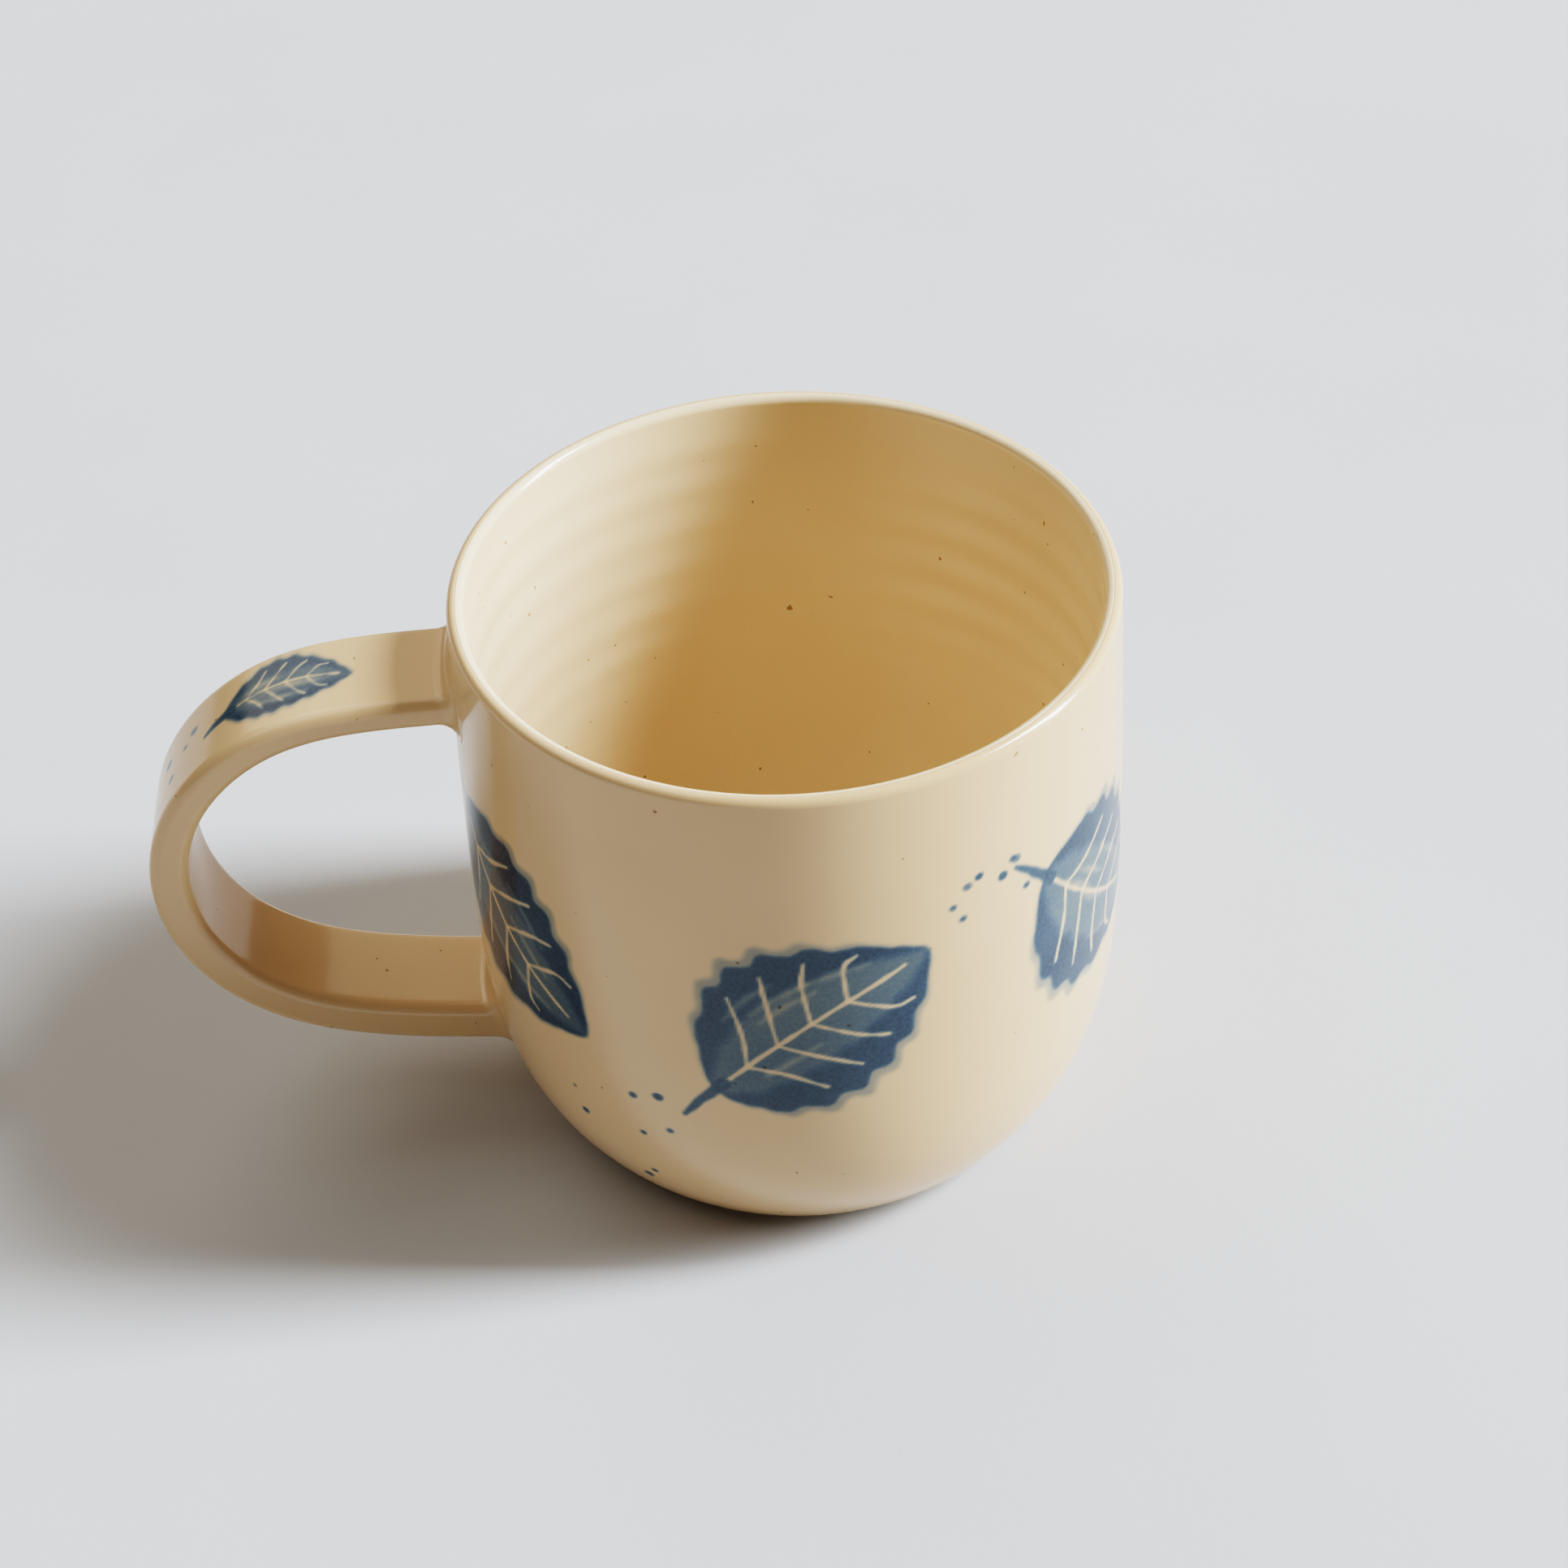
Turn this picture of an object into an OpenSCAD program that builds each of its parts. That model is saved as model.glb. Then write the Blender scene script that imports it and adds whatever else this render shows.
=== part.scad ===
// Stoneware mug: a thrown and trimmed cup, a pulled strap handle luted on with slip,
// and three coats of clear glaze over the pale clay. Millimetres.
// The cup's axis is Z, the table is z = 0 and the handle points along -X.

/* [Cup] */
// Height of the lip above the table
cup_height = 83; // [80:0.5:92]
// Widest outside radius, measured over the glaze
belly_radius = 43.8; // [42:0.1:48]
// Height of the widest place above the table
belly_height = 40; // [34:1:46]
// Outside radius at the lip
rim_radius = 42.5; // [40:0.1:46]
// How far the wall draws in between the belly and the table
undercut = 10; // [6:0.5:13]
// Power of the lower curve: a higher one keeps the wall upright further down
lower_curve = 3.6; // [2.4:0.1:4.5]

/* [Wall] */
// Thickness of the rounded lip
lip_thickness = 2.2; // [1.8:0.1:3]
// Thickness of the wall at the belly
wall_thickness = 3.6; // [3:0.1:5]
// Thickness of the floor at the middle, with the recess under it
floor_thickness = 4.4; // [3.5:0.1:7]
// Thickness of a coat of glaze
glaze_thickness = 0.35; // [0.2:0.05:0.6]

/* [Foot] */
// Outside radius of the bare foot where it meets the table
foot_radius = 32.8; // [30:0.1:34]
// Width of the ring that the cup rests on
foot_ring_width = 5; // [3:0.5:8]
// Depth of the recess trimmed inside the foot ring
foot_recess = 1.4; // [0.5:0.1:2.5]
// Height at which the outside glaze stops above the table
glaze_line = 1.6; // [1:0.1:3]

/* [Handle] */
// Width of the strap at the upper joint, over the glaze
strap_width_top = 16.4; // [12:0.1:20]
// Width of the strap at the lower joint, over the glaze
strap_width_bottom = 15.5; // [12:0.1:20]
// Thickness of the strap at the upper joint, over the glaze
strap_thickness_top = 4.2; // [3.6:0.1:6]
// Thickness of the strap at the lower joint, over the glaze
strap_thickness_bottom = 6.2; // [4:0.1:7.5]
// Radius of the strap's four long edges, over the glaze
strap_edge = 1.5; // [0.8:0.1:1.7]
// How far the slip spreads from the strap where it meets the wall
slip_spread = 2.2; // [1:0.1:3]
// How far the slip runs out along the strap
slip_length = 4.5; // [3:0.1:7]

/* [Hidden] */

$fn = 128;

clay_colour = [0.80, 0.71, 0.57];
slip_colour = [0.84, 0.76, 0.62];
glaze_colour = [0.93, 0.87, 0.73];
liner_colour = [0.94, 0.89, 0.76];

lip_radius = lip_thickness / 2;
lip_height = cup_height - lip_radius;
rim_narrowing = belly_radius - rim_radius;
wall_thinning = wall_thickness - lip_thickness;
cavity_radius = belly_radius - wall_thickness;
cavity_floor = foot_recess + floor_thickness;
foot_chamfer = 0.5;

// The upper wall draws in slowly above the belly.
upper_power = 1.5;
// The cavity's lower half is a superellipse: nearly flat on the floor, round at the corner.
cavity_width_power = 5;
cavity_depth_power = 3;

wall_steps = 22;
lip_steps = 6;
cavity_steps = 20;

// ---- Outline of the cup, in the half plane [radius, height] ----

function upper_part(z) = pow(max(0, (z - belly_height) / (lip_height - belly_height)), upper_power);
function lower_part(z) = pow(max(0, (belly_height - z) / belly_height), lower_curve);
function outside_radius(z) = belly_radius - rim_narrowing * upper_part(z) - undercut * lower_part(z);
function inside_radius(z) = cavity_radius - (rim_narrowing - wall_thinning) * upper_part(z);

function lip_point(a) = [rim_radius - lip_radius + lip_radius * cos(a), lip_height + lip_radius * sin(a)];
function cavity_point(a) = [
    cavity_radius * pow(cos(a), 2 / cavity_width_power),
    belly_height - (belly_height - cavity_floor) * pow(sin(a), 2 / cavity_depth_power)
];

// Up the outside from the glaze line, to the crown of the lip
outside_path = concat(
    [for (i = [0 : wall_steps - 1])
        let (z = glaze_line + (lip_height - glaze_line) * i / wall_steps) [outside_radius(z), z]],
    [for (i = [0 : lip_steps]) lip_point(90 * i / lip_steps)]
);

// From the crown of the lip down the inside, to the middle of the floor
inside_path = concat(
    [for (i = [0 : lip_steps]) lip_point(90 + 90 * i / lip_steps)],
    [for (i = [1 : wall_steps / 2])
        let (z = lip_height + (belly_height - lip_height) * i / (wall_steps / 2)) [inside_radius(z), z]],
    [for (i = [1 : cavity_steps - 1]) cavity_point(90 * i / cavity_steps)],
    [[0, cavity_floor]]
);

function unit(v) = v / norm(v);
function left_of(v) = [-v.y, v.x];
function along(path, i) = unit(path[min(i + 1, len(path) - 1)] - path[max(i - 1, 0)]);

// The same path moved to the left of its direction, which is into the clay
function inset(path, depth) = [for (i = [0 : len(path) - 1]) path[i] + depth * left_of(along(path, i))];
function reversed(path) = [for (i = [len(path) - 1 : -1 : 0]) path[i]];
function tail(path) = [for (i = [1 : len(path) - 1]) path[i]];
function lead(path) = [for (i = [0 : len(path) - 2]) path[i]];

crown = [rim_radius - lip_radius, cup_height - glaze_thickness];
clay_outside = concat(lead(inset(outside_path, glaze_thickness)), [crown]);
clay_inside = concat(
    [crown],
    tail(lead(inset(inside_path, glaze_thickness))),
    [[0, cavity_floor - glaze_thickness]]
);

foot_outline = [
    [0, foot_recess],
    [foot_radius - foot_ring_width - foot_recess, foot_recess],
    [foot_radius - foot_ring_width, 0],
    [foot_radius, 0],
    [foot_radius + foot_chamfer, foot_chamfer]
];

// The clay's outside with nothing hollowed out, which the handle's parts are fitted against
module clay_form() {
    rotate_extrude() polygon(concat([[0, 0]], clay_outside, [[0, cup_height - glaze_thickness]]));
}

// ---- Handle: a rounded strap swept along a smooth curve in the XZ plane ----

// The strap's centre line follows guide points: a straight run out of the upper joint, half an
// ellipse for the bow and a straight, slightly rising run out of the lower joint.
upper_run_start = [-21, 71.5];
upper_run_step = [-18.5, 0];
lower_run_start = [-19, 13];
lower_run_step = [-17.5, 1.5];
bow_middle = [-56, 44];
bow_reach = 28;
bow_rise = 27.5;
bow_guides = 5;
strap_guides = concat(
    [for (i = [0 : 2]) upper_run_start + i * upper_run_step],
    [for (i = [1 : bow_guides])
        let (a = 180 * i / (bow_guides + 1)) bow_middle + [-bow_reach * sin(a), bow_rise * cos(a)]],
    [for (i = [2 : -1 : 0]) lower_run_start + i * lower_run_step]
);
spans = len(strap_guides) - 3;
fine_steps = 12;
coarse_steps = 4;
corner_steps = 4;
// The slip is not carried on once it is this thin.
slip_feather = 0.3;

function blend(w, i) = w[0] * strap_guides[i] + w[1] * strap_guides[i + 1]
    + w[2] * strap_guides[i + 2] + w[3] * strap_guides[i + 3];
function span_of(u) = min(floor(u), spans - 1);
function centre(u) = let (i = span_of(u), t = u - i, w = [
        pow(1 - t, 3), 3 * pow(t, 3) - 6 * t * t + 4, -3 * pow(t, 3) + 3 * t * t + 3 * t + 1, pow(t, 3)
    ]) blend(w / 6, i);
function heading(u) = let (i = span_of(u), t = u - i)
    unit(blend([-pow(1 - t, 2), 3 * t * t - 4 * t, -3 * t * t + 2 * t + 1, t * t] / 2, i));

// Sizes change evenly along the bow and stay the same through each joint.
function mix(a, b, u) = a + (b - a) * (max(1, min(spans - 1, u)) - 1) / (spans - 2);
function half_width(u) = mix(strap_width_top, strap_width_bottom, u) / 2;
function half_thickness(u) = mix(strap_thickness_top, strap_thickness_bottom, u) / 2;

// Distance of the centre line from the cup's wall, and the bead of slip that it leaves
function gap(u) = max(0, -centre(u).x - outside_radius(centre(u).y));
function slip_bead(u) = slip_spread * pow(max(0, 1 - gap(u) / slip_length), 2);

// The strap's section across its centre line, moved out from the glazed surface by grow
function section(u, grow) = let (
        r = strap_edge + grow, w = half_width(u) + grow - r, t = half_thickness(u) + grow - r
    ) [for (k = [0 : 3], j = [0 : corner_steps])
        let (a = 90 * (k + j / corner_steps))
        [w * (k == 0 || k == 3 ? 1 : -1) + r * cos(a), t * (k < 2 ? 1 : -1) + r * sin(a)]];
ring_size = 4 * (corner_steps + 1);
function strap_ring(u, grow) = let (c = centre(u), side = left_of(heading(u)))
    [for (p = section(u, grow)) [c.x + p.y * side.x, p.x, c.y + p.y * side.y]];

function flatten(lists) = [for (l = lists, p = l) p];
function wall_faces(rings, start, flip) = [for (i = [0 : rings - 2], j = [0 : ring_size - 1])
    let (
        a = start + i * ring_size + j, b = start + i * ring_size + (j + 1) % ring_size,
        c = b + ring_size, d = a + ring_size
    ) each flip ? [[a, c, b], [a, d, c]] : [[a, b, c], [a, c, d]]];

// A solid strap through the stations us, each moved out by its own amount
module rod(us, grows) {
    n = len(us);
    first_end = [for (j = [ring_size - 1 : -1 : 0]) j];
    last_end = [for (j = [0 : ring_size - 1]) (n - 1) * ring_size + j];
    polyhedron(
        flatten([for (i = [0 : n - 1]) strap_ring(us[i], grows[i])]),
        concat(wall_faces(n, 0, false), [first_end, last_end])
    );
}

// A sleeve between two such surfaces, open at both ends
module sleeve(us, outer_grows, inner_grows) {
    n = len(us);
    inner = n * ring_size;
    function cap(i, flip) = [for (j = [0 : ring_size - 1])
        let (a = i * ring_size + j, b = i * ring_size + (j + 1) % ring_size)
        each flip ? [[a, a + inner, b + inner], [a, b + inner, b]]
                  : [[a, b + inner, a + inner], [a, b, b + inner]]];
    polyhedron(
        concat(
            flatten([for (i = [0 : n - 1]) strap_ring(us[i], outer_grows[i])]),
            flatten([for (i = [0 : n - 1]) strap_ring(us[i], inner_grows[i])])
        ),
        concat(wall_faces(n, 0, false), wall_faces(n, inner, true), cap(0, true), cap(n - 1, false))
    );
}

// The window that a joint leaves in the glaze on the cup's wall
window_u = 0.25;
window_depth = 12;
window_gap = 0.05;
module joint_window(u) {
    c = centre(u);
    h = heading(u);
    multmatrix([[0, -h.y, h.x, c.x], [1, 0, 0, 0], [0, h.x, h.y, c.y]])
        linear_extrude(window_depth, center = true) polygon(section(u, slip_spread + window_gap));
}

upper_stations = [for (i = [0 : fine_steps]) i / fine_steps];
bow_stations = [for (i = [1 : (spans - 2) * coarse_steps - 1]) 1 + i / coarse_steps];
lower_stations = [for (i = [0 : fine_steps]) spans - 1 + i / fine_steps];
stations = concat(upper_stations, bow_stations, lower_stations);

upper_slip_stations = [for (u = upper_stations) if (slip_bead(u) >= slip_feather) u];
lower_slip_stations = [for (u = lower_stations) if (slip_bead(u) >= slip_feather) u];

function clay_grows(us) = [for (u = us) -glaze_thickness];
function slip_grows(us) = [for (u = us) slip_bead(u) - glaze_thickness];
function glaze_grows(us) = [for (u = us) slip_bead(u)];

// ---- The pieces ----

module cup_body() {
    color(clay_colour)
        rotate_extrude() polygon(concat(foot_outline, lead(clay_outside), clay_inside));
}

module handle_strap() {
    color(clay_colour) difference() {
        rod(stations, clay_grows(stations));
        clay_form();
    }
}

module joint_slip(us) {
    color(slip_colour) difference() {
        sleeve(us, slip_grows(us), clay_grows(us));
        clay_form();
    }
}

module upper_joint_slip() { joint_slip(upper_slip_stations); }

module lower_joint_slip() { joint_slip(lower_slip_stations); }

module liner_glaze() {
    color(liner_colour) rotate_extrude() polygon(concat(inside_path, reversed(clay_inside)));
}

module outer_glaze() {
    color(glaze_colour) difference() {
        rotate_extrude() polygon(concat(outside_path, reversed(clay_outside)));
        joint_window(window_u);
        joint_window(spans - window_u);
    }
}

// The handle's coat covers the strap and, where it is present, the slip.
module handle_glaze() {
    upper_end = upper_slip_stations[len(upper_slip_stations) - 1];
    lower_end = lower_slip_stations[0];
    bare = [for (u = stations) if (u > upper_end && u < lower_end) u];
    us = concat(upper_slip_stations, [upper_end], bare, [lower_end], lower_slip_stations);
    inner = concat(
        slip_grows(upper_slip_stations), clay_grows(concat([0], bare, [0])),
        slip_grows(lower_slip_stations)
    );
    color(glaze_colour) difference() {
        sleeve(us, glaze_grows(us), inner);
        clay_form();
    }
}

cup_body();
handle_strap();
upper_joint_slip();
lower_joint_slip();
liner_glaze();
outer_glaze();
handle_glaze();
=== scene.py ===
import math

import bmesh
import bpy
import numpy as np
from mathutils import Matrix, Vector


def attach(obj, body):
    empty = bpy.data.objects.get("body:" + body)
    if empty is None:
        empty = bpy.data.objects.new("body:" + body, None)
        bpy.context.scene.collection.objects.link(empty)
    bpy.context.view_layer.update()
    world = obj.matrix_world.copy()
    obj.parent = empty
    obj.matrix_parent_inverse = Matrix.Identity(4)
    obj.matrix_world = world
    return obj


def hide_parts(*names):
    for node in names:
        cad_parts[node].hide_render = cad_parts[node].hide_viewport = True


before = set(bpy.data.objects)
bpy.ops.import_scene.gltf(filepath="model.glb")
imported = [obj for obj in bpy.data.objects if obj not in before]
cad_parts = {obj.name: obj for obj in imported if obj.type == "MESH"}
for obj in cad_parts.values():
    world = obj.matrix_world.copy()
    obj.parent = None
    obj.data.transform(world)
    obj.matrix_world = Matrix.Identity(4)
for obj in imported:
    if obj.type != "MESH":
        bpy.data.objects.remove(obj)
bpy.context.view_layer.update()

# The mug is in millimetres until it becomes a mesh. The stage, the lamps and the camera end up in metres.
MM = 0.001
TAU = 2 * math.pi

# ---- Sizes, as in the CAD source ----
CUP_HEIGHT = 83.0
BELLY_RADIUS = 43.8
BELLY_HEIGHT = 40.0
RIM_RADIUS = 42.5
UNDERCUT = 10.0
LOWER_CURVE = 3.6
UPPER_POWER = 1.5
LIP_RADIUS = 1.1
LIP_HEIGHT = CUP_HEIGHT - LIP_RADIUS
CAVITY_RADIUS = 40.2
CAVITY_FLOOR = 5.8
GLAZE = 0.35
GLAZE_LINE = 1.6
FOOT_RADIUS = 32.8
FOOT_RING_WIDTH = 5.0
FOOT_RECESS = 1.4
FOOT_CHAMFER = 0.5
RIM_NARROWING = BELLY_RADIUS - RIM_RADIUS
WALL_THINNING = (BELLY_RADIUS - CAVITY_RADIUS) - 2 * LIP_RADIUS

UPPER_RUN_START = np.array([-21, 71.5])
UPPER_RUN_STEP = np.array([-18.5, 0])
LOWER_RUN_START = np.array([-19, 13])
LOWER_RUN_STEP = np.array([-17.5, 1.5])
BOW_MIDDLE = np.array([-56, 44])
BOW_REACH = 28
BOW_RISE = 27.5
BOW_GUIDES = 5


def strap_guides():
    """Guide points of the strap's centre line in the XZ plane, from the upper joint to the lower one.

    They are a straight run, half an ellipse and a straight run."""
    upper = [UPPER_RUN_START + i * UPPER_RUN_STEP for i in range(3)]
    turns = [math.pi * i / (BOW_GUIDES + 1) for i in range(1, BOW_GUIDES + 1)]
    bow = [BOW_MIDDLE + (-BOW_REACH * math.sin(a), BOW_RISE * math.cos(a)) for a in turns]
    lower = [LOWER_RUN_START + i * LOWER_RUN_STEP for i in (2, 1, 0)]
    return np.array(upper + bow + lower)


STRAP_GUIDES = strap_guides()
SPANS = len(STRAP_GUIDES) - 3
STRAP_WIDTH = (16.4, 15.5)
STRAP_THICKNESS = (4.2, 6.2)
STRAP_EDGE = 1.5
FILLET = 2.6


# ---- Meshes ----

def unit(v):
    return v / np.linalg.norm(v, axis=-1, keepdims=True)


def turn_outwards(mesh):
    """Flips every face of a closed mesh whose faces look inwards."""
    form = bmesh.new()
    form.from_mesh(mesh)
    if form.calc_volume(signed=True) < 0:
        bmesh.ops.reverse_faces(form, faces=form.faces)
        form.to_mesh(mesh)
    form.free()


def make_object(name, points, faces, attributes=None):
    """A smooth mesh object from points in millimetres, with optional values per vertex."""
    mesh = bpy.data.meshes.new(name)
    mesh.from_pydata((np.asarray(points) * MM).tolist(), [], faces)
    mesh.validate()
    mesh.shade_smooth()
    turn_outwards(mesh)
    for key, values in (attributes or {}).items():
        layer = mesh.attributes.new(key, "FLOAT", "POINT")
        layer.data.foreach_set("value", np.asarray(values, dtype=np.float32).ravel())
    piece = bpy.data.objects.new(name, mesh)
    bpy.context.scene.collection.objects.link(piece)
    return piece


def grid_faces(rows, ring, closed, start=0):
    """Quads between rows of ring points each, flattened row by row. Rows may close on themselves."""
    i, j = np.meshgrid(np.arange(rows if closed else rows - 1), np.arange(ring), indexing="ij")
    nxt = (i + 1) % rows
    a = start + i * ring + j
    b = start + i * ring + (j + 1) % ring
    c = start + nxt * ring + (j + 1) % ring
    d = start + nxt * ring + j
    return np.stack([a, b, c, d], axis=-1).reshape(-1, 4).tolist()


def revolve(name, path, angles, closed, bend=None, attributes=None):
    """Turns a path of (radius, height) about Z. An open path starts and ends on the axis.

    bend and attributes are given radius, height and angle. They return a new radius and the vertex values."""
    path = np.asarray(path, dtype=float)
    body = path if closed else path[1:-1]
    ring = len(angles)
    r = np.repeat(body[:, 0:1], ring, axis=1)
    z = np.repeat(body[:, 1:2], ring, axis=1)
    a = np.repeat(np.asarray(angles)[None, :], len(body), axis=0)
    if bend is not None:
        r = bend(r, z, a)
    points = np.stack([r * np.cos(a), r * np.sin(a), z], axis=-1).reshape(-1, 3)
    faces = grid_faces(len(body), ring, closed)
    values = {} if attributes is None else attributes(r, z, a)
    if not closed:
        first, last = len(points), len(points) + 1
        points = np.vstack([points, [(0, 0, path[0, 1]), (0, 0, path[-1, 1])]])
        top = (len(body) - 1) * ring
        faces += [[first, (j + 1) % ring, j] for j in range(ring)]
        faces += [[top + j, top + (j + 1) % ring, last] for j in range(ring)]
        values = {key: np.append(v.ravel(), [v[0].mean(), v[-1].mean()]) for key, v in values.items()}
    return make_object(name, points, faces, attributes=values)


def outside_radius(z):
    up = np.clip((z - BELLY_HEIGHT) / (LIP_HEIGHT - BELLY_HEIGHT), 0, None)
    down = np.clip((BELLY_HEIGHT - z) / BELLY_HEIGHT, 0, None)
    return BELLY_RADIUS - RIM_NARROWING * up ** UPPER_POWER - UNDERCUT * down ** LOWER_CURVE


def inside_radius(z):
    up = np.clip((z - BELLY_HEIGHT) / (LIP_HEIGHT - BELLY_HEIGHT), 0, None)
    return CAVITY_RADIUS - (RIM_NARROWING - WALL_THINNING) * up ** UPPER_POWER


def lip(first, last, steps):
    """Points round the lip between two angles, 0 outside and 90 at the crown."""
    a = np.radians(np.linspace(first, last, steps + 1))
    centre = RIM_RADIUS - LIP_RADIUS
    return np.stack([centre + LIP_RADIUS * np.cos(a), LIP_HEIGHT + LIP_RADIUS * np.sin(a)], axis=-1)


def cavity(steps):
    """The cavity's lower half, from the belly to the middle of the floor."""
    a = np.linspace(0, math.pi / 2, steps + 1)
    r = CAVITY_RADIUS * np.clip(np.cos(a), 0, 1) ** (2 / 5)
    z = BELLY_HEIGHT - (BELLY_HEIGHT - CAVITY_FLOOR) * np.sin(a) ** (2 / 3)
    r[-1] = 0
    return np.stack([r, z], axis=-1)


def inset(path, depth):
    """The path moved by depth to the left of its direction, which is into the clay."""
    ahead = np.vstack([path[1:], path[-1:]])
    behind = np.vstack([path[:1], path[:-1]])
    way = unit(ahead - behind)
    return path + depth * np.stack([-way[:, 1], way[:, 0]], axis=-1)


def wall_path(heights, radius):
    heights = np.asarray(heights, dtype=float)
    return np.stack([radius(heights), heights], axis=-1)


CROWN = np.array([RIM_RADIUS - LIP_RADIUS, CUP_HEIGHT - GLAZE])


def outside_path(heights, lip_steps):
    return np.vstack([wall_path(heights, outside_radius), lip(0, 90, lip_steps)])


def inside_path(wall_steps, cavity_steps, lip_steps):
    heights = np.linspace(LIP_HEIGHT, BELLY_HEIGHT, wall_steps + 1)[1:-1]
    return np.vstack([lip(90, 180, lip_steps), wall_path(heights, inside_radius), cavity(cavity_steps)])


# ---- Brushwork ----

def spline(points, closed, steps=8):
    """Catmull-Rom curve through rows of numbers."""
    p = np.asarray(points, dtype=float)
    if closed:
        q = np.vstack([p[-1:], p, p[:2]])
    else:
        q = np.vstack([2 * p[:1] - p[1:2], p, 2 * p[-1:] - p[-2:-1]])
    t = np.arange(steps)[:, None] / steps
    out = []
    for i in range(len(q) - 3):
        a, b, c, d = q[i:i + 4]
        out.append(0.5 * (2 * b + (c - a) * t + (2 * a - 5 * b + 4 * c - d) * t * t
                          + (3 * b - a - 3 * c + d) * t ** 3))
    out.append(q[-2:-1])
    return np.vstack(out)


class Brush:
    """Cobalt laid on a surface whose points have the flat coordinates x and y in millimetres."""

    def __init__(self, x, y, seed):
        """seed fixes everything that is random in the brushwork."""
        self.shape = x.shape
        self.x = x.ravel()
        self.y = y.ravel()
        self.density = np.zeros(self.x.size)
        self.random = np.random.RandomState(seed)
        self.wobble = self.waves(2.2, 7)

    def waves(self, length, count):
        """A smooth uneven field between about -1 and 1."""
        total = np.zeros(self.x.size)
        for _ in range(count):
            turn, phase = self.random.uniform(0, TAU, 2)
            size = length * self.random.uniform(0.7, 2.2)
            total += np.sin(TAU * (self.x * math.cos(turn) + self.y * math.sin(turn)) / size + phase)
        return total / math.sqrt(count)

    def near(self, low, high, margin):
        """Indices of the points within margin of a box."""
        return np.where((self.x > low[0] - margin) & (self.x < high[0] + margin)
                        & (self.y > low[1] - margin) & (self.y < high[1] + margin))[0]

    def apply(self, index, distance, strength, soft, cut):
        """Lays cobalt down, or cuts it away, where distance is below zero, with an edge of width soft."""
        distance = distance + 0.06 * self.wobble[index]
        amount = np.clip(0.5 - distance / soft, 0, 1)
        amount = strength * amount * amount * (3 - 2 * amount)
        if cut:
            self.density[index] *= 1 - amount
        else:
            self.density[index] = 1 - (1 - self.density[index]) * (1 - amount)

    def segments(self, line, index):
        """Distance of each indexed point from the line, and the line's width there."""
        p = np.stack([self.x[index], self.y[index]], axis=-1)
        best = np.full(len(index), 1e9)
        for a, b in zip(line[:-1], line[1:]):
            way = b[:2] - a[:2]
            size = max(float(way @ way), 1e-9)
            t = np.clip(((p - a[:2]) @ way) / size, 0, 1)
            d = np.linalg.norm(p - a[:2] - t[:, None] * way, axis=1)
            if len(a) > 2:
                d = d - (a[2] + t * (b[2] - a[2]))
            best = np.minimum(best, d)
        return best

    def blot(self, points, strength=1.0, soft=0.8, cut=False):
        """A filled shape with a smooth outline."""
        line = spline(points, True)
        index = self.near(line.min(axis=0), line.max(axis=0), soft + 0.5)
        distance = self.segments(line, index)
        x, y = self.x[index], self.y[index]
        inside = np.zeros(len(index), dtype=bool)
        for (ax, ay), (bx, by) in zip(line[:-1], line[1:]):
            if ay != by:
                crosses = ((ay > y) != (by > y)) & (x < (bx - ax) * (y - ay) / (by - ay) + ax)
                inside ^= crosses
        self.apply(index, np.where(inside, -distance, distance), strength, soft, cut)

    def stroke(self, points, strength=1.0, soft=0.4, cut=False):
        """A brush mark through points of (x, y, half width)."""
        line = spline(points, False)
        margin = line[:, 2].max() + soft + 0.5
        index = self.near(line.min(axis=0), line.max(axis=0), margin)
        self.apply(index, self.segments(line, index), strength, soft, cut)

    def scratch(self, points, strength=0.92):
        """A line cut through the cobalt with a point."""
        self.stroke(points, strength, 0.4, cut=True)

    def dot(self, x, y, rx, ry, strength, soft=0.5):
        """A drop with the half widths rx and ry."""
        size = max(rx, ry)
        index = self.near((x - size, y - size), (x + size, y + size), soft)
        d = np.hypot((self.x[index] - x) / rx, (self.y[index] - y) / ry) - 1
        self.apply(index, d * min(rx, ry), strength, soft, False)

    def values(self):
        """The finished density, laid on a little unevenly."""
        return (self.density * (0.93 + 0.05 * self.waves(9, 6))).clip(0, 1).reshape(self.shape)


LEAF_STEPS = 40
SCALLOPS = 7


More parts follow.
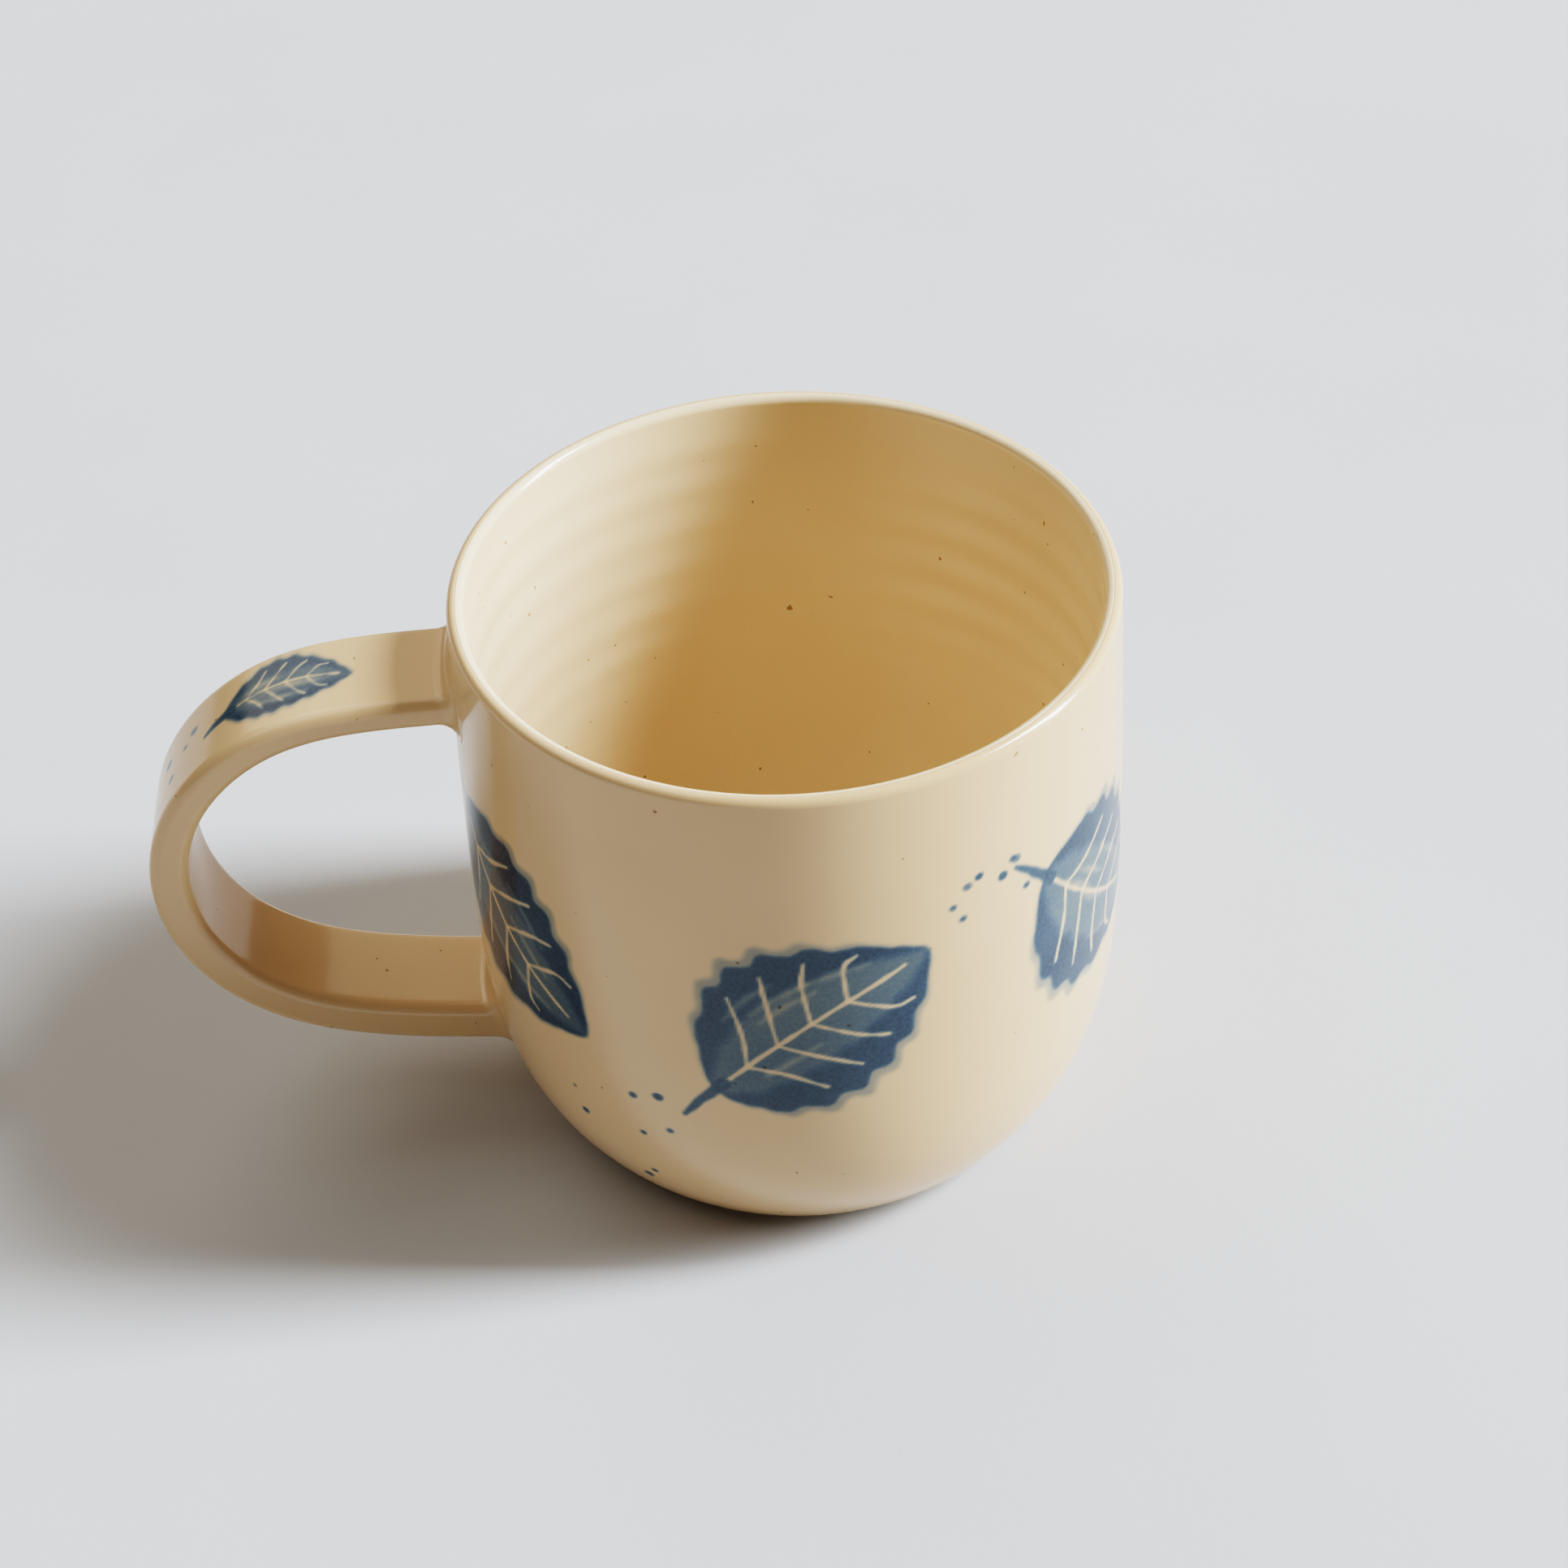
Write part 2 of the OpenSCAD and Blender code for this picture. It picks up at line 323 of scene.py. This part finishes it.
def leaf(brush, x, y, heading, length, width, bend=0.0):
    """A broad brushed leaf with its middle at (x, y), its veins scratched through to the clay."""
    c, s = math.cos(math.radians(heading)), math.sin(math.radians(heading))
    line = 0.3 * max(0.6, length / 30)

    def at(t, v, *rest):
        """The point t of the way along the leaf and v to its left."""
        u = (t - 0.5) * length
        v = v + bend * math.sin(math.pi * t)
        return (x + u * c - v * s, y + u * s + v * c, *rest)

    def half(t):
        return width / 2 * abs(math.sin(math.pi * t ** 0.85)) ** 0.75

    def outline(scale):
        """The leaf's scalloped edge, up one side and down the other."""
        steps = np.linspace(0, 1, LEAF_STEPS + 1)
        wavy = [(t, scale * half(t) * (1 + 0.05 * math.cos(SCALLOPS * TAU * t))) for t in steps]
        return [at(t, v) for t, v in wavy] + [at(t, -v) for t, v in wavy[-2:0:-1]]

    brush.blot(outline(1.12), 0.32, 1.4)
    brush.blot(outline(1.0), 0.96, 0.8)
    brush.blot(outline(0.5), 0.3, 2.0, cut=True)
    for _ in range(5):
        t, v = brush.random.uniform(0.15, 0.6), brush.random.uniform(-0.7, 0.7)
        streak = [at(t + d, v * half(t + d), w) for d, w in ((0, 0.2), (0.12, 0.5), (0.25, 0.2))]
        brush.stroke(streak, 0.4, 1.2, cut=True)
    brush.scratch([at(t, 0, line) for t in (0.04, 0.3, 0.6, 0.9)])
    for t in (0.18, 0.34, 0.50, 0.66):
        end = t + 0.16
        for side in (-1, 1):
            brush.scratch([at(t, 0, line * 0.7), at(t + 0.09, side * half(t) * 0.45, line),
                           at(end, side * half(end) * 0.78, line * 0.8)])
    brush.stroke([at(-0.2, -0.8, 0.3), at(-0.1, -0.3, 0.6), at(0.05, 0, 0.9)], 0.85, 0.6)


def spatter(brush, x, y, spread, count):
    """Small drops scattered round a point."""
    for _ in range(count):
        dx, dy = brush.random.normal(0, spread, 2)
        size = brush.random.uniform(0.25, 0.9)
        brush.dot(x + dx, y + dy, size, size * 0.85, brush.random.uniform(0.6, 1.0))


LEAVES = 6
LEAF_SPACING = TAU * BELLY_RADIUS / LEAVES
HANDLE_SIDE = -TAU * BELLY_RADIUS / 4


def cup_brushwork(r, z, a):
    """Cobalt density on the outside wall: leaves at even steps round the belly, and drops between them.

    x runs round the belly from the front towards +X, and starts and ends at the handle."""
    x = ((a + math.pi / 2) % TAU) * BELLY_RADIUS
    x = np.where(x > TAU * BELLY_RADIUS + HANDLE_SIDE, x - TAU * BELLY_RADIUS, x)
    brush = Brush(x, z, 7)
    for k in range(LEAVES):
        side = -(-1) ** k
        middle = (k - 1) * LEAF_SPACING
        leaf(brush, middle, 47 - side, 38 * side, 35, 26, 2 * side)
        if k < LEAVES - 1:
            spatter(brush, middle + LEAF_SPACING / 2, 42 + 20 * side, 5, 8)
    return {"cobalt": brush.values()}


# ---- Cup pieces ----

def cup_angles():
    """Columns round the cup: fine where the front brushwork is, and then round the back."""
    fine = np.arange(-58, 54, 0.3)
    back = np.arange(54, TAU * BELLY_RADIUS - 58, 0.5)
    return np.concatenate([fine, back]) / BELLY_RADIUS - math.pi / 2


def make_outer_coat():
    heights = np.concatenate([np.arange(GLAZE_LINE, 11, 0.8), np.arange(11, 77, 0.3),
                              np.arange(77, LIP_HEIGHT - 0.2, 0.5)])
    outer = outside_path(heights, 14)
    inner = inset(outside_path(np.linspace(GLAZE_LINE, LIP_HEIGHT, 24)[:-1], 5), GLAZE)
    inner[-1] = CROWN
    path = np.vstack([outer, inner[::-1]])
    return revolve("outer_coat", path, cup_angles(), True, attributes=cup_brushwork)


def throwing_rings(r, z, a):
    """Shallow spiral ridges that the fingers leave on the upper wall, and a slightly uneven floor."""
    rise = z + 1.6 * np.sin(a + 0.6) + 6.5 * a / TAU
    wave = 0.5 + 0.5 * np.sin(TAU * rise / 6.5) * (0.7 + 0.3 * np.sin(2 * a + z / 9))
    fade = np.clip((z - 34) / 14, 0, 1) * np.clip((80 - z) / 6, 0, 1)
    return r - 0.22 * wave * fade


def make_liner():
    visible = inside_path(150, 60, 14)
    hidden = inset(inside_path(20, 24, 5), GLAZE)
    hidden[0] = CROWN
    hidden[-1] = (0, CAVITY_FLOOR - GLAZE)
    path = np.vstack([visible[::-1], hidden])
    angles = np.linspace(0, TAU, 320, endpoint=False)

    def bend(r, z, a):
        ringed = throwing_rings(r, z, a)
        ringed[len(visible) - 1:] = r[len(visible) - 1:]
        return ringed
    return revolve("liner_coat", path, angles, False, bend=bend)


def make_cup_clay():
    outside = inset(outside_path(np.linspace(GLAZE_LINE, LIP_HEIGHT, 30)[:-1], 5), GLAZE)[:-1]
    inside = inset(inside_path(20, 24, 5), GLAZE)[1:]
    inside[-1] = (0, CAVITY_FLOOR - GLAZE)
    ring_inside = FOOT_RADIUS - FOOT_RING_WIDTH
    recess = [(0, FOOT_RECESS)] + [(r, FOOT_RECESS) for r in np.arange(1, ring_inside - 1.8, 0.5)]
    slope = [(ring_inside - FOOT_RECESS * t, FOOT_RECESS * t) for t in (1, 0.85, 0.5, 0.2)]
    ring = [(ring_inside + 0.3, 0)] + [(r, 0) for r in np.arange(ring_inside + 0.8, FOOT_RADIUS - 0.3, 0.5)]
    edge = [(FOOT_RADIUS - 0.1, 0), (FOOT_RADIUS + 0.25, 0.15), (FOOT_RADIUS + FOOT_CHAMFER, FOOT_CHAMFER)]
    path = np.vstack([recess, slope, ring, edge, outside, [CROWN], inside])
    return revolve("cup_clay", path, np.linspace(0, TAU, 256, endpoint=False), False)


# ---- Handle pieces ----

def strap_centre(u):
    """Centre line of the strap and its direction at the stations u."""
    i = np.minimum(np.floor(u).astype(int), SPANS - 1)
    t = (u - i)[:, None]
    g = [STRAP_GUIDES[i + k] for k in range(4)]
    w = [(1 - t) ** 3, 3 * t ** 3 - 6 * t * t + 4, -3 * t ** 3 + 3 * t * t + 3 * t + 1, t ** 3]
    v = [-(1 - t) ** 2, 3 * t * t - 4 * t, -3 * t * t + 2 * t + 1, t * t]
    return sum(a * b for a, b in zip(w, g)) / 6, unit(sum(a * b for a, b in zip(v, g)))


def strap_size(ends, u):
    return ends[0] + (ends[1] - ends[0]) * (np.clip(u, 1, SPANS - 1) - 1) / (SPANS - 2)


FACE_STEPS = 22
INNER_STEPS = 10
SIDE_STEPS = 8
EDGE_STEPS = 8
UPPER_START = 0.42
LOWER_START = SPANS - 0.55


def section(width, thickness, grow):
    """Half of the strap's section as (across, out), from the outer face's middle to the inner one's."""
    r = STRAP_EDGE + grow
    w = width / 2 + grow - r
    t = thickness / 2 + grow - r
    a = np.radians(np.linspace(90, 0, EDGE_STEPS + 1))
    b = -a[::-1]
    outer = np.stack([np.linspace(0, w, FACE_STEPS + 1)[:-1], np.full(FACE_STEPS, t + r)], axis=-1)
    side = np.stack([np.full(SIDE_STEPS - 1, w + r), np.linspace(t, -t, SIDE_STEPS + 1)[1:-1]], axis=-1)
    inner = np.stack([np.linspace(w, 0, INNER_STEPS + 1)[1:], np.full(INNER_STEPS, -t - r)], axis=-1)
    upper_edge = np.stack([w + r * np.cos(a), t + r * np.sin(a)], axis=-1)
    lower_edge = np.stack([w + r * np.cos(b), -t + r * np.sin(b)], axis=-1)
    return np.vstack([outer, upper_edge, side, lower_edge, inner])


def strap_rings(u, grow=0.0):
    """Closed rings of points round the strap at the stations u, starting at the outer face's middle."""
    centre, heading = strap_centre(u)
    width = strap_size(STRAP_WIDTH, u)
    thick = strap_size(STRAP_THICKNESS, u)
    rings = []
    for k in range(len(u)):
        half = section(width[k], thick[k], grow)
        back = half[-2:0:-1] * (-1, 1)
        across, out = np.vstack([half, back]).T
        rings.append(np.stack([centre[k, 0] + out * heading[k, 1], -across,
                               centre[k, 1] - out * heading[k, 0]], axis=-1))
    return np.array(rings)


def reach(points, way):
    """How far each point is from the cup's outside along way."""
    low = np.full(len(points), -30.0)
    high = np.full(len(points), 30.0)
    for _ in range(40):
        t = (low + high) / 2
        p = points + t[:, None] * way
        out = np.hypot(p[:, 0], p[:, 1]) > outside_radius(p[:, 2])
        low = np.where(out, t, low)
        high = np.where(out, high, t)
    return (low + high) / 2


def joint_way(u, sign):
    heading = strap_centre(np.array([u]))[1][0] * sign
    return np.array([heading[0], 0, heading[1]])


def fillet_rings(u, sign, depth, steps, first=0.0):
    """Rings of the rounded joint, from the strap to the wall. They lie depth under the glaze's outside."""
    way = joint_way(u, sign)
    rings = []
    for angle in np.radians(np.linspace(first, 90, steps + 1)):
        ring = strap_rings(np.array([u]), FILLET * (1 - math.cos(angle)) - depth)[0]
        gap = FILLET * (1 - math.sin(angle)) - depth * math.sin(angle)
        rings.append(ring + (reach(ring, way) - gap)[:, None] * way)
    return np.array(rings)


def straight_rings(u, sign, depth, gaps):
    """Rings of the strap carried straight on, at the given distances from the wall."""
    way = joint_way(u, sign)
    ring = strap_rings(np.array([u]), -depth)[0]
    to_wall = reach(ring, way)
    return np.array([ring + (to_wall - gap)[:, None] * way for gap in gaps])


def loft(name, rings, closed, attributes=None):
    """A surface over rings of equal length. An open one is capped with a fan at each end."""
    rows, ring = rings.shape[:2]
    points = rings.reshape(-1, 3)
    faces = grid_faces(rows, ring, closed)
    values = dict(attributes or {})
    if not closed:
        first, last = len(points), len(points) + 1
        points = np.vstack([points, rings[0].mean(axis=0), rings[-1].mean(axis=0)])
        top = (rows - 1) * ring
        faces += [[first, (j + 1) % ring, j] for j in range(ring)]
        faces += [[top + j, top + (j + 1) % ring, last] for j in range(ring)]
    return make_object(name, points, faces, attributes=values)


def coat_rings(depth, bow_steps, joint_steps, skin):
    """Rings of the handle's glazed surface, moved in by depth, from inside one wall joint to the other."""
    upper = fillet_rings(UPPER_START, -1, depth, joint_steps)
    lower = fillet_rings(LOWER_START, 1, depth, joint_steps)
    upper_end = upper[-1:] + skin * joint_way(UPPER_START, -1)
    lower_end = lower[-1:] + skin * joint_way(LOWER_START, 1)
    bow = strap_rings(np.linspace(UPPER_START, LOWER_START, bow_steps), -depth)
    return np.concatenate([upper_end, upper[::-1], bow, lower, lower_end])


def strap_coordinates(rings):
    """Flat coordinates on handle rings: x along the strap from the upper joint's start, and y round the
    section from the outer face's middle, positive towards -Y."""
    middle = rings.mean(axis=1)
    along = np.concatenate([[0], np.cumsum(np.linalg.norm(np.diff(middle, axis=0), axis=1))])
    steps = np.linalg.norm(np.roll(rings, -1, axis=1) - rings, axis=2)
    around = np.concatenate([np.zeros((len(rings), 1)), np.cumsum(steps, axis=1)[:, :-1]], axis=1)
    total = steps.sum(axis=1, keepdims=True)
    around = np.where(around > total / 2, around - total, around)
    return np.repeat(along[:, None], rings.shape[1], axis=1), around


def handle_brushwork(rings):
    """Cobalt density on the handle: a small leaf on the upper limb and one on the bow, each with drops."""
    x, y = strap_coordinates(rings)
    brush = Brush(x, y, 11)
    for middle in (22, 66):
        leaf(brush, middle, 0, 180, 17, 10, 1)
        spatter(brush, middle + 18, 0, 3, 5)
    return brush.values()


def make_handle_coat():
    outer = coat_rings(0.0, 440, 12, 0.3)
    inner = coat_rings(GLAZE, 60, 6, 0.3)
    rings = np.concatenate([outer, inner[::-1]])
    cobalt = np.zeros(rings.shape[:2])
    cobalt[:len(outer)] = handle_brushwork(outer)
    return loft("handle_coat", rings, True, {"cobalt": cobalt})


def make_strap_clay():
    gaps = np.linspace(FILLET + 0.5, -GLAZE, 6)
    upper = straight_rings(UPPER_START, -1, GLAZE, gaps)
    lower = straight_rings(LOWER_START, 1, GLAZE, gaps)
    bow = strap_rings(np.linspace(UPPER_START, LOWER_START, 80), -GLAZE)
    return loft("strap_clay", np.concatenate([upper[::-1], bow, lower]), False)


def make_slip(name, u, sign):
    """The slip that fills the rounded joint, between the strap and its coat of glaze."""
    outer = fillet_rings(u, sign, GLAZE, 8, 20)
    inner = straight_rings(u, sign, GLAZE, np.linspace(-GLAZE, FILLET * 0.6, 6))
    return loft(name, np.concatenate([outer, inner]), True)


outer_coat = make_outer_coat()
liner_coat = make_liner()
cup_clay = make_cup_clay()
handle_coat = make_handle_coat()
strap_clay = make_strap_clay()
upper_slip = make_slip("upper_slip", UPPER_START, -1)
lower_slip = make_slip("lower_slip", LOWER_START, 1)

for piece, node, slot_name in (
        (cup_clay, "cup_body", "clay"), (strap_clay, "handle_strap", "clay"),
        (upper_slip, "upper_joint_slip", "slip"), (lower_slip, "lower_joint_slip", "slip"),
        (liner_coat, "liner_glaze", "liner_glaze"), (outer_coat, "outer_glaze", "outer_glaze"),
        (handle_coat, "handle_glaze", "outer_glaze")):
    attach(piece, "root")
    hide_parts(node)


# ---- Materials ----

class Nodes:
    """Short way to build a node material."""

    def __init__(self, name):
        self.material = bpy.data.materials.new(name)
        self.material.use_nodes = True
        self.tree = self.material.node_tree
        self.shader = self.tree.nodes["Principled BSDF"]

    def node(self, kind, inputs=None, **settings):
        n = self.tree.nodes.new(kind)
        for key, value in settings.items():
            setattr(n, key, value)
        for key, value in (inputs or {}).items():
            if isinstance(value, bpy.types.NodeSocket):
                self.tree.links.new(value, n.inputs[key])
            else:
                n.inputs[key].default_value = value
        return n

    def position(self):
        return self.node("ShaderNodeTexCoord").outputs["Object"]

    def noise(self, size_mm, detail=3.0, rough=0.5):
        return self.node("ShaderNodeTexNoise", {"Vector": self.position(), "Scale": 1000 / size_mm,
                                                "Detail": detail, "Roughness": rough}).outputs["Fac"]

    def ramp(self, value, stops):
        """Colours for a value, from stops of (place, colour)."""
        n = self.node("ShaderNodeValToRGB", {"Fac": value})
        elements = n.color_ramp.elements
        while len(elements) < len(stops):
            elements.new(0.5)
        for e, (at, colour) in zip(elements, stops):
            e.position = at
            e.color = (*colour, 1)
        return n.outputs["Color"]

    def math(self, operation, a, b, c=0.0, clamp=False):
        n = self.node("ShaderNodeMath", {0: a, 1: b, 2: c}, operation=operation, use_clamp=clamp)
        return n.outputs["Value"]

    def mix(self, factor, a, b, blend="MIX"):
        n = self.node("ShaderNodeMix", data_type="RGBA", blend_type=blend)
        for key, value in ((0, factor), (6, a), (7, b)):
            if isinstance(value, bpy.types.NodeSocket):
                self.tree.links.new(value, n.inputs[key])
            elif key == 0:
                n.inputs[key].default_value = value
            else:
                n.inputs[key].default_value = (*value, 1)
        return n.outputs[2]

    def attribute(self, name):
        return self.node("ShaderNodeAttribute", attribute_name=name).outputs["Fac"]

    def bump(self, height, distance_mm):
        n = self.node("ShaderNodeBump", {"Height": height, "Distance": distance_mm * MM})
        self.tree.links.new(n.outputs["Normal"], self.shader.inputs["Normal"])

    def set(self, **values):
        for key, value in values.items():
            socket = self.shader.inputs[key.replace("_", " ")]
            if isinstance(value, bpy.types.NodeSocket):
                self.tree.links.new(value, socket)
            else:
                socket.default_value = value


CREAM = (0.70, 0.49, 0.285)
CREAM_DARK = (0.68, 0.47, 0.27)
LINER = (0.82, 0.655, 0.44)
LINER_DARK = (0.81, 0.635, 0.42)
# What cobalt of rising thickness lets through
COBALT = [(0.0, (1.0, 1.0, 1.0)), (0.2, (0.55, 0.68, 0.84)), (0.5, (0.20, 0.36, 0.62)),
          (0.75, (0.085, 0.20, 0.48)), (1.0, (0.038, 0.105, 0.29))]


def glaze_material(name, painted, light, dark):
    n = Nodes(name)
    tone = n.ramp(n.noise(22, 2), [(0.35, dark), (0.65, light)])
    specks = n.ramp(n.noise(1.1, 0), [(0.120, (0.50, 0.40, 0.28)), (0.138, (1.0, 1.0, 1.0))])
    colour = n.mix(1.0, tone, specks, "MULTIPLY")
    if painted:
        cobalt = n.attribute("cobalt")
        grain = n.math("MULTIPLY_ADD", n.noise(0.5, 3, 0.7), 0.5, 0.75)
        thick = n.math("MULTIPLY", cobalt, grain, clamp=True)
        colour = n.mix(1.0, colour, n.ramp(thick, COBALT), "MULTIPLY")
    n.set(Base_Color=colour, Roughness=0.16, IOR=1.52)
    n.bump(n.noise(2.4, 3, 0.45), 0.012)
    return n.material


def clay_material():
    n = Nodes("bare_clay")
    tone = n.ramp(n.noise(6, 4, 0.6), [(0.3, (0.60, 0.47, 0.31)), (0.7, (0.70, 0.57, 0.40))])
    specks = n.ramp(n.noise(0.7, 2), [(0.30, (0.35, 0.22, 0.12)), (0.36, (1.0, 1.0, 1.0))])
    n.set(Base_Color=n.mix(1.0, tone, specks, "MULTIPLY"), Roughness=0.85)
    n.bump(n.noise(0.8, 4, 0.65), 0.05)
    return n.material


def floor_material():
    n = Nodes("paper")
    tone = n.ramp(n.noise(60, 3), [(0.35, (0.545, 0.545, 0.55)), (0.65, (0.56, 0.56, 0.56))])
    n.set(Base_Color=tone, Roughness=0.75)
    n.bump(n.noise(1.5, 4, 0.6), 0.03)
    return n.material


def paint(objects, material):
    for o in objects:
        o.data.materials.clear()
        o.data.materials.append(material)


painted_glaze = glaze_material("painted_glaze", True, CREAM, CREAM_DARK)
paint([outer_coat, handle_coat], painted_glaze)
paint([liner_coat], glaze_material("liner_glaze", False, LINER, LINER_DARK))
clay = clay_material()
paint([cup_clay, strap_clay, upper_slip, lower_slip], clay)

# ---- Stage ----

# Half of the floor's width, in metres
FLOOR_HALF = 30.0


def make_floor():
    mesh = bpy.data.meshes.new("floor")
    corners = [(x * FLOOR_HALF, y * FLOOR_HALF, 0) for x, y in ((-1, -1), (1, -1), (1, 1), (-1, 1))]
    mesh.from_pydata(corners, [], [(0, 1, 2, 3)])
    floor = bpy.data.objects.new("floor", mesh)
    bpy.context.scene.collection.objects.link(floor)
    paint([floor], floor_material())



# The camera's place and the point that it looks at, found from the photograph
EYE = Vector((-15.1, -292.1, 306.4)) * MM
AIM = Vector((-0.74, 7.95, 41.5)) * MM
ROLL = math.radians(-2.662)


def make_camera():
    data = bpy.data.cameras.new("camera")
    data.sensor_width = 36
    data.lens = 67.08
    data.clip_start = 0.01
    camera = bpy.data.objects.new("camera", data)
    ahead = (AIM - EYE).normalized()
    level = ahead.cross(Vector((0, 0, 1))).normalized()
    rise = level.cross(ahead)
    right = math.cos(ROLL) * level + math.sin(ROLL) * rise
    up = right.cross(ahead)
    turn = Matrix((right, up, -ahead)).transposed()
    camera.matrix_world = Matrix.Translation(EYE) @ turn.to_4x4()
    bpy.context.scene.collection.objects.link(camera)
    bpy.context.scene.camera = camera


# How far the lamps are from the mug, in metres
LAMP_DISTANCE = 8.0


def make_lamp(name, elevation, azimuth, width, height, power, colour):
    """A soft rectangular lamp. Angles and sizes are in degrees as seen from the mug; azimuth 0 is +X."""
    data = bpy.data.lights.new(name, "AREA")
    data.shape = "RECTANGLE"
    data.size = 2 * LAMP_DISTANCE * math.tan(math.radians(width / 2))
    data.size_y = 2 * LAMP_DISTANCE * math.tan(math.radians(height / 2))
    data.energy = power * math.pi * LAMP_DISTANCE ** 2
    data.color = colour
    lamp = bpy.data.objects.new(name, data)
    e, a = math.radians(elevation), math.radians(azimuth)
    way = Vector((math.cos(e) * math.cos(a), math.cos(e) * math.sin(a), math.sin(e)))
    lamp.location = way * LAMP_DISTANCE + Vector((0, 0, 0.04))
    lamp.rotation_euler = (-way).to_track_quat("-Z", "Y").to_euler()
    lamp.visible_camera = False
    bpy.context.scene.collection.objects.link(lamp)


def make_world():
    """A dim room, which shows as a pale backdrop behind the floor."""
    world = bpy.data.worlds.new("world")
    world.use_nodes = True
    tree = world.node_tree
    room = tree.nodes["Background"]
    room.inputs["Color"].default_value = (1.15, 1.0, 0.82, 1)
    room.inputs["Strength"].default_value = 0.10
    backdrop = tree.nodes.new("ShaderNodeBackground")
    backdrop.inputs["Color"].default_value = (0.97, 0.98, 1.0, 1)
    backdrop.inputs["Strength"].default_value = 0.78
    path = tree.nodes.new("ShaderNodeLightPath")
    mix = tree.nodes.new("ShaderNodeMixShader")
    tree.links.new(path.outputs["Is Camera Ray"], mix.inputs["Fac"])
    tree.links.new(room.outputs["Background"], mix.inputs[1])
    tree.links.new(backdrop.outputs["Background"], mix.inputs[2])
    tree.links.new(mix.outputs["Shader"], tree.nodes["World Output"].inputs["Surface"])
    bpy.context.scene.world = world


make_floor()
make_camera()
make_lamp("window", 43, -2, 10, 15, 2.8, (0.93, 1.0, 1.10))
make_lamp("window_low", 21, -2, 10, 32, 4.0, (0.93, 1.0, 1.08))
make_lamp("back_wall", 30, 98, 60, 36, 0.6, (1.12, 1.0, 0.84))
make_lamp("ceiling", 60, 150, 60, 40, 0.9, (1.02, 1.0, 0.97))
make_world()
bpy.context.scene.view_settings.view_transform = "Filmic"
bpy.context.scene.view_settings.look = "Very High Contrast"
